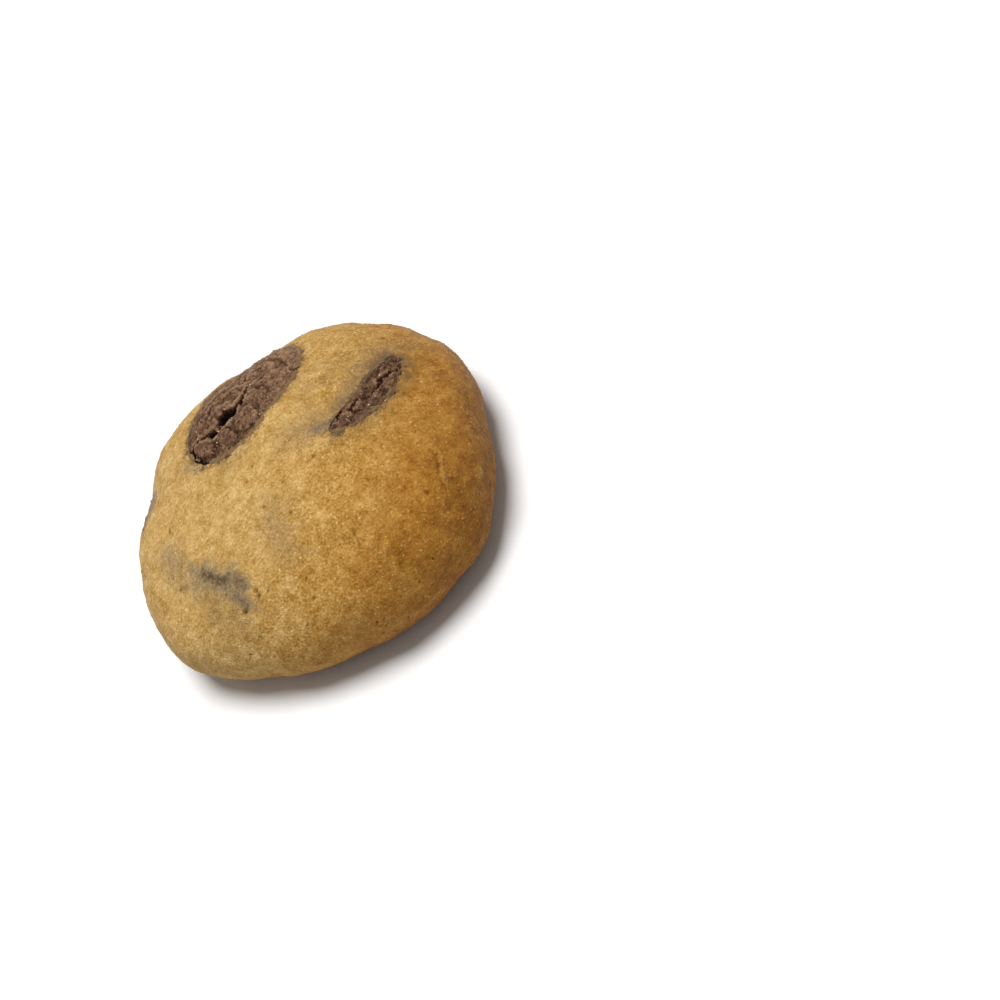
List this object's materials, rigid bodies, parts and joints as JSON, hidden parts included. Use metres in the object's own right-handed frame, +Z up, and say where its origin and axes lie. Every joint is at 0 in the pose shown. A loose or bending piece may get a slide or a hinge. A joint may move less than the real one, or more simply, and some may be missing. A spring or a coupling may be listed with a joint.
{
  "type": "chocolate chip cookie",
  "caption": "Plump round baked cookie with a domed crust, a flat base and chocolate chunks that show in its crust.",
  "frame": {"origin": "middle of the flat base, at the bottom of the bounding box", "axes": "+Z up out of the domed top; -Y is the near side in the picture's view; the large chunk is towards +Y and the slit one towards +X"},
  "size_m": [0.0632, 0.0605, 0.0221],
  "materials": {
    "baked_dough": "matt, sandy golden crust",
    "chocolate": "matt baked chocolate with fine grains and small glints"
  },
  "bodies": {
    "root": {"cookie_dough": "baked_dough", "chocolate_chunk_large": "chocolate", "chocolate_chunk_slit": "chocolate", "chocolate_chunk_side": "chocolate"}
  },
  "joints": []
}
